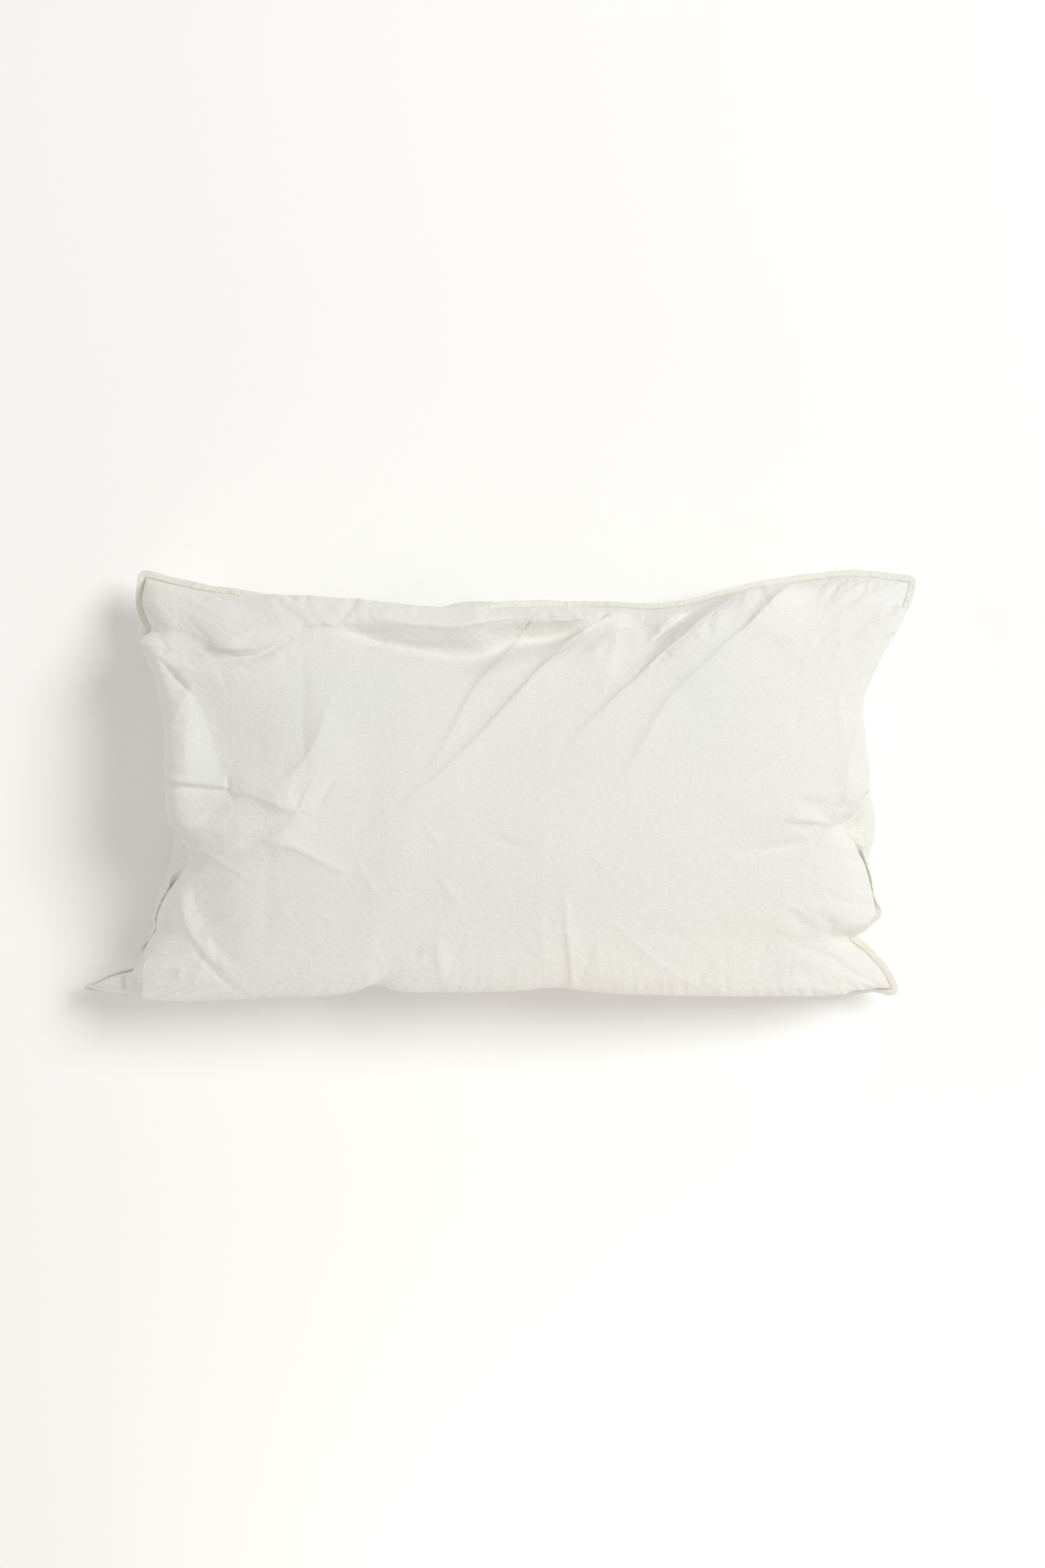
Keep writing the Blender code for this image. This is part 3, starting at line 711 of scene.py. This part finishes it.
def washed_cotton(name, base, warm, cool, crinkle=1.0):
    """The cloth's material, patchy between three close tints, with its weave and crinkles as bump."""
    material = bpy.data.materials.new(name)
    material.use_nodes = True
    tree = material.node_tree
    shader = tree.nodes["Principled BSDF"]
    shader.inputs["Roughness"].default_value = 0.92
    shader.inputs["IOR"].default_value = 1.5
    shader.inputs["Specular IOR Level"].default_value = 0.25
    shader.inputs["Sheen Weight"].default_value = 0.12
    shader.inputs["Sheen Roughness"].default_value = 0.5
    place = add_node(tree, "ShaderNodeTexCoord").outputs["Object"]
    cut = add_node(tree, "ShaderNodeUVMap", {"uv_map": "flat_cut"}).outputs["UV"]
    patches = add_node(
        tree, "ShaderNodeTexNoise", values={"Scale": 3.2, "Detail": 2.0}, links={"Vector": place}
    )
    tint = add_node(tree, "ShaderNodeValToRGB", links={"Fac": patches.outputs["Fac"]})
    tint.color_ramp.elements[0].position = 0.38
    tint.color_ramp.elements[0].color = linear(cool)
    tint.color_ramp.elements[1].position = 0.64
    tint.color_ramp.elements[1].color = linear(warm)
    middle = tint.color_ramp.elements.new(0.5)
    middle.color = linear(base)

    def yarn(across_cut, along_cut):
        """Noise drawn out along one yarn direction: its slubs, so many to the metre each way."""
        stretch = add_node(
            tree, "ShaderNodeMapping", values={"Scale": (across_cut, along_cut, 1.0)}, links={"Vector": cut}
        )
        return add_node(
            tree, "ShaderNodeTexNoise", {"noise_dimensions": "2D"},
            {"Scale": 1.0, "Detail": 2.0, "Roughness": 0.6}, {"Vector": stretch.outputs["Vector"]},
        ).outputs["Fac"]

    weft = yarn(WEFT_SLUBS, 1 / THREAD)
    warp = yarn(1 / THREAD, WARP_SLUBS)
    weave = add_node(tree, "ShaderNodeMath", {"operation": "ADD"}, links={0: weft, 1: warp}).outputs[0]
    slubs = add_node(
        tree, "ShaderNodeMapRange",
        values={"From Min": 0.75, "From Max": 1.25, "To Min": 0.975, "To Max": 1.015},
        links={"Value": weave},
    )
    colour = add_node(
        tree, "ShaderNodeVectorMath", {"operation": "SCALE"},
        links={0: tint.outputs["Color"], "Scale": slubs.outputs["Result"]},
    )
    tree.links.new(colour.outputs["Vector"], shader.inputs["Base Color"])
    crinkles = yarn(CRINKLES_ACROSS, CRINKLES_ALONG)
    offset = add_node(
        tree, "ShaderNodeMath", {"operation": "SUBTRACT"}, values={1: 0.5}, links={0: crinkles}
    )
    fine = add_node(
        tree, "ShaderNodeMath", {"operation": "ABSOLUTE"}, links={0: offset.outputs[0]}
    ).outputs[0]
    crumple = add_node(
        tree, "ShaderNodeTexNoise", values={"Scale": 190.0, "Detail": 3.0, "Roughness": 0.55},
        links={"Vector": place},
    ).outputs["Fac"]
    bump_weave = add_node(
        tree, "ShaderNodeBump", values={"Strength": 0.5, "Distance": 0.00022}, links={"Height": weave}
    )
    bump_fine = add_node(
        tree, "ShaderNodeBump", values={"Strength": 0.6 * crinkle, "Distance": 0.0016},
        links={"Height": fine, "Normal": bump_weave.outputs["Normal"]},
    )
    bump_crumple = add_node(
        tree, "ShaderNodeBump", values={"Strength": 0.75 * crinkle, "Distance": 0.0010},
        links={"Height": crumple, "Normal": bump_fine.outputs["Normal"]},
    )
    tree.links.new(bump_crumple.outputs["Normal"], shader.inputs["Normal"])
    return material


cover.data.materials.clear()
cover.data.materials.append(washed_cotton("washed_plain_weave_cotton", COTTON, COTTON_WARM, COTTON_COOL))
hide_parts("filled_cover")
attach(cover, "root")

# ---------------------------------------------------------------------------------------------------------
# Turned-out seam edge. The French seam's folded layers stand out 8 mm all round, with the stitching sunk
# along their inner side, which draws the cotton into small cross ripples.
# ---------------------------------------------------------------------------------------------------------
EDGE_STEP = 0.95
WRINKLE_SPACING = 4.6
WRINKLE_LIFT = 1.3
WRINKLE_SLANT = 1.1
WRINKLE_DRIFT = 0.7
WRINKLE_SHARPNESS = 4.0
WAVE_SPACING = 26.0
WAVE_LIFT = 1.3
WAVE_WIDTH_SHARE = 0.12
GATHER_SPACING = 31.0
LEAST_GATHER = 0.6
RAGGED_SPACING = 5.0
RAGGED_WIDTH = 0.6
# The edge's direction and its turn are evened out over this many steps each way.
OUTWARD_REACH = 9
TURN_REACH = 8

# The edge's section: how far out as a share of its width, height over the seam, and share of the wrinkles.
EDGE_SECTION = (
    (-0.12, 0.25, 0.0),
    (0.02, 0.10, 0.0),
    (0.10, 0.60, 0.4),
    (0.22, 0.85, 1.0),
    (0.40, 0.80, 1.0),
    (0.58, 0.80, 1.0),
    (0.76, 0.80, 1.0),
    (0.92, 0.80, 0.9),
    (0.99, 0.45, 0.8),
    (1.00, -0.20, 0.8),
    (0.95, -0.75, 0.7),
    (0.60, -0.80, 0.7),
    (0.22, -0.80, 0.6),
    (0.08, -0.50, 0.2),
    (-0.12, -0.40, 0.0),
)


def seam_route():
    """The stitched seam all round, anticlockwise from the lower left corner, and the turn of its edge."""
    long_count = int(CUT_LENGTH / EDGE_STEP)
    short_count = int(CUT_WIDTH / EDGE_STEP)
    across = np.linspace(0, 1, long_count + 1)
    up = np.linspace(0, 1, short_count + 1)
    walks = (
        (BOTTOM_SIDE, across[:-1], across[:-1], np.zeros(long_count)),
        (RIGHT_SIDE, up[:-1], np.ones(short_count), up[:-1]),
        (TOP_SIDE, across[:0:-1], across[:0:-1], np.ones(long_count)),
        (LEFT_SIDE, up[:0:-1], np.zeros(short_count), up[:0:-1]),
    )
    stretches = [np.stack(base_sheet(at_across, at_up), axis=-1) for _, _, at_across, at_up in walks]
    route = np.concatenate(stretches)
    turn = np.concatenate([side_reading(side, "turn", share) for side, share, _, _ in walks])
    return route, np.radians(turn)


def smoothed(values, reach):
    """Each row averaged with its neighbours round the closed route."""
    window = np.hanning(2 * reach + 3)[1:-1]
    window /= window.sum()
    return sum(weight * np.roll(values, shift, axis=0) for shift, weight in enumerate(window, -reach))


def outward(route, reach):
    """The level direction away from the cushion at each point, turning smoothly over a few steps."""
    run = np.roll(route, -1, axis=0) - np.roll(route, 1, axis=0)
    run[:, 2] = 0
    run = run / np.linalg.norm(run, axis=1, keepdims=True)
    away = smoothed(np.stack([run[:, 1], -run[:, 0], np.zeros(len(run))], axis=-1), reach)
    return away / np.linalg.norm(away, axis=1, keepdims=True)


def add_mesh(name, points, faces):
    """A smooth object from points in millimetres, with every face turned outwards."""
    mesh = bpy.data.meshes.new(name)
    mesh.from_pydata((np.array(points) * MM).tolist(), [], faces)
    made = bpy.data.objects.new(name, mesh)
    bpy.context.scene.collection.objects.link(made)
    bpy.ops.object.select_all(action="DESELECT")
    made.select_set(True)
    bpy.context.view_layer.objects.active = made
    bpy.ops.object.mode_set(mode="EDIT")
    bpy.ops.mesh.select_all(action="SELECT")
    bpy.ops.mesh.normals_make_consistent(inside=False)
    bpy.ops.object.mode_set(mode="OBJECT")
    bpy.ops.object.shade_smooth()
    return made


def loft_ring(name, rings):
    """A closed tube through rings of points, which runs round and ends where it began."""
    count, size = len(rings), len(rings[0])
    faces = []
    for i in range(count):
        here, ahead = i * size, (i + 1) % count * size
        faces += [(here + j, ahead + j, ahead + (j + 1) % size, here + (j + 1) % size) for j in range(size)]
    return add_mesh(name, np.concatenate(rings), faces)


route, turn = seam_route()
turn = smoothed(turn, TURN_REACH)
walked = np.concatenate([[0], np.cumsum(np.linalg.norm(np.diff(route, axis=0), axis=1))])
away = outward(route, OUTWARD_REACH)
wave = np.array([noise.noise((w / WAVE_SPACING, 5.0, 0.0)) for w in walked])
gather = np.array([LEAST_GATHER + noise.noise((w / GATHER_SPACING, 2.0, 7.0)) for w in walked])
ragged = np.array([noise.noise((w / RAGGED_SPACING, 9.0, 0.0)) for w in walked])
width = EDGE_WIDTH * (1 + WAVE_WIDTH_SHARE * wave) + RAGGED_WIDTH * ragged


def cross_wrinkle(at, share):
    """The sharp little ridges that the stitching draws across the edge, from 0 to 1."""
    drawn = noise.noise((at / WRINKLE_SPACING + WRINKLE_SLANT * share, WRINKLE_DRIFT * share, 3.0))
    return max(0.0, 1.0 - WRINKLE_SHARPNESS * abs(drawn))


rings = []
for place, out, at, lifted, gathered, wide, turned in zip(route, away, walked, wave, gather, width, turn):
    ring = []
    for share, height, wrinkled in EDGE_SECTION:
        reach = share * wide
        lift = height + wrinkled * gathered * WRINKLE_LIFT * cross_wrinkle(at, share)
        lift += WAVE_LIFT * lifted * max(share, 0)
        drop = np.array([0, 0, lift * np.cos(turned) - reach * np.sin(turned)])
        ring.append(place + out * (reach * np.cos(turned) + lift * np.sin(turned)) + drop)
    rings.append(np.array(ring))
edge = loft_ring("turned_seam_edge", rings)
edge_cut = edge.data.uv_layers.new(name="flat_cut")
size = len(EDGE_SECTION)
corner = np.empty(len(edge.data.loops), int)
edge.data.loops.foreach_get("vertex_index", corner)
laid = np.stack([walked[corner // size] * MM, (corner % size) / size * 2 * EDGE_WIDTH * MM], axis=-1)
edge_cut.data.foreach_set("uv", laid.ravel())
# The same cotton in four layers, tinted a little warmer as painted warm light bounced between the layers, and
# crinkled less because it is stitched flat.
EDGE_TINT_WITH_PAINTED_BOUNCE = "EAE9E1"
EDGE_WARM_TINT_WITH_PAINTED_BOUNCE = "EBE9E0"
EDGE_COOL_TINT_WITH_PAINTED_BOUNCE = "E9E8E2"
folded_cotton_painted_bounce = washed_cotton("folded_cotton_edge_painted_bounce", EDGE_TINT_WITH_PAINTED_BOUNCE, EDGE_WARM_TINT_WITH_PAINTED_BOUNCE, EDGE_COOL_TINT_WITH_PAINTED_BOUNCE, crinkle=0.6)
edge.data.materials.append(folded_cotton_painted_bounce)
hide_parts("seam_edge")
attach(edge, "root")

# ---------------------------------------------------------------------------------------------------------
# Seam stitching. One row of ecru cotton lockstitches, sunk where the turned-out edge meets the panels. Its
# colour is darkened into painted shade of the seam's groove, so it shows as a thin tan line on both faces
# wherever the cloth doesn't roll over it.
# ---------------------------------------------------------------------------------------------------------
STITCH_LENGTH = 2.9
STITCH_PITCH = 3.4
THREAD_RADIUS = 0.42
THREAD_LEVEL = 0.42
THREAD_OUT = 0.35
# The thread's tan is darkened into painted shade of the seam's groove.
THREAD_AND_GROOVE_SHADE_COLOUR = "B8AA84"
# The rings of a stitch: share of its length, share of the thread's radius, and how far it dips at its ends.
STITCH_RINGS = ((-0.5, 0.35, -0.3), (-0.3, 1.0, 0.0), (0.3, 1.0, 0.0), (0.5, 0.35, -0.3))
STITCH_SIDES = 6


def stitch_row(side_sign):
    """Points and faces of every stitch along one face of the seam."""
    points, faces = [], []
    total = walked[-1]
    for number in range(int(total / STITCH_PITCH)):
        at = number * STITCH_PITCH
        out = np.array([np.interp(at, walked, away[:, k]) for k in range(3)])
        for along, thick, dip in STITCH_RINGS:
            spot = np.array([np.interp(at + along * STITCH_LENGTH, walked, route[:, k]) for k in range(3)])
            middle = spot + out * THREAD_OUT + np.array([0, 0, side_sign * (THREAD_LEVEL + dip)])
            radius = THREAD_RADIUS * thick
            for corner in range(STITCH_SIDES):
                angle = 2 * np.pi * corner / STITCH_SIDES
                raised = np.array([0, 0, radius * np.sin(angle)])
                points.append(middle + out * radius * np.cos(angle) + raised)
        first = len(points) - len(STITCH_RINGS) * STITCH_SIDES
        for ring in range(len(STITCH_RINGS) - 1):
            for corner in range(STITCH_SIDES):
                a = first + ring * STITCH_SIDES + corner
                b = first + ring * STITCH_SIDES + (corner + 1) % STITCH_SIDES
                faces.append((a, b, b + STITCH_SIDES, a + STITCH_SIDES))
        faces.append(tuple(first + corner for corner in reversed(range(STITCH_SIDES))))
        faces.append(tuple(len(points) - STITCH_SIDES + corner for corner in range(STITCH_SIDES)))
    return points, faces


upper_points, upper_faces = stitch_row(1)
lower_points, lower_faces = stitch_row(-1)
shifted = [tuple(index + len(upper_points) for index in face) for face in lower_faces]
stitching = add_mesh("seam_stitching", upper_points + lower_points, upper_faces + shifted)
# Spun cotton thread, undyed and matte, coloured darker than the thread is: painted shade of the groove it
# lies in, so that the row reads as a line.
thread_with_painted_shade = bpy.data.materials.new("ecru_thread_with_painted_groove_shade")
thread_with_painted_shade.use_nodes = True
shader_of_thread_with_painted_shade = thread_with_painted_shade.node_tree.nodes["Principled BSDF"]
shader_of_thread_with_painted_shade.inputs["Base Color"].default_value = linear(THREAD_AND_GROOVE_SHADE_COLOUR)
shader_of_thread_with_painted_shade.inputs["Roughness"].default_value = 0.75
shader_of_thread_with_painted_shade.inputs["IOR"].default_value = 1.5
stitching.data.materials.append(thread_with_painted_shade)
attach(stitching, "root")

# ---------------------------------------------------------------------------------------------------------
# Studio: a plain white floor, a wide soft light from the right and above, and the camera straight over the
# face of the cushion.
# ---------------------------------------------------------------------------------------------------------
FLOOR_SIZE = 14.0
FLOOR_LEVEL = -0.0006
LIT_PLACE = Vector((0, 0, 0.08))
CAMERA_LENS = 70.0
SENSOR_WIDTH = 36.0
CAMERA_PLACE = (0.0235, 0.0017, (EYE_HEIGHT + SEAM_LEVEL) * MM)

bpy.ops.object.select_all(action="DESELECT")
bpy.ops.mesh.primitive_plane_add(size=FLOOR_SIZE, location=(0, 0, FLOOR_LEVEL))
floor = bpy.context.object
floor.name = "white_floor"
# Matte white paper: evenly white, with no gloss to mirror the cushion.
paper = bpy.data.materials.new("matte_white_paper")
paper.use_nodes = True
paper_shader = paper.node_tree.nodes["Principled BSDF"]
paper_shader.inputs["Base Color"].default_value = linear("FEFEFE")
paper_shader.inputs["Roughness"].default_value = 0.95
paper_shader.inputs["Specular IOR Level"].default_value = 0.1
floor.data.materials.append(paper)


def add_soft_light(name, place, size, watts, colour):
    """A round lamp that faces the cushion."""
    lamp = bpy.data.lights.new(name, "AREA")
    lamp.shape = "DISK"
    lamp.size = size
    lamp.energy = watts
    lamp.color = linear(colour)[:3]
    made = bpy.data.objects.new(name, lamp)
    made.location = place
    made.rotation_euler = (LIT_PLACE - Vector(place)).to_track_quat("-Z", "Y").to_euler()
    bpy.context.scene.collection.objects.link(made)


add_soft_light("key_from_the_right", (3.5, 1.7, 4.6), 3.0, 206, "FDFFFF")
add_soft_light("reflector_on_the_left", (-4.3, -0.2, 1.9), 3.0, 34, "FFFBF6")
add_soft_light("low_fill_from_the_front", (0.3, -1.2, 0.42), 0.8, 2.4, "FFF3EE")

world = bpy.data.worlds.new("studio_air")
bpy.context.scene.world = world
world.use_nodes = True
sky = world.node_tree.nodes["Background"]
sky.inputs["Color"].default_value = linear("FFFCF5")
sky.inputs["Strength"].default_value = 0.485
bpy.context.scene.view_settings.view_transform = "Standard"

camera_data = bpy.data.cameras.new("camera")
camera_data.lens = CAMERA_LENS
camera_data.sensor_width = SENSOR_WIDTH
camera = bpy.data.objects.new("camera", camera_data)
camera.location = CAMERA_PLACE
bpy.context.scene.collection.objects.link(camera)
bpy.context.scene.camera = camera
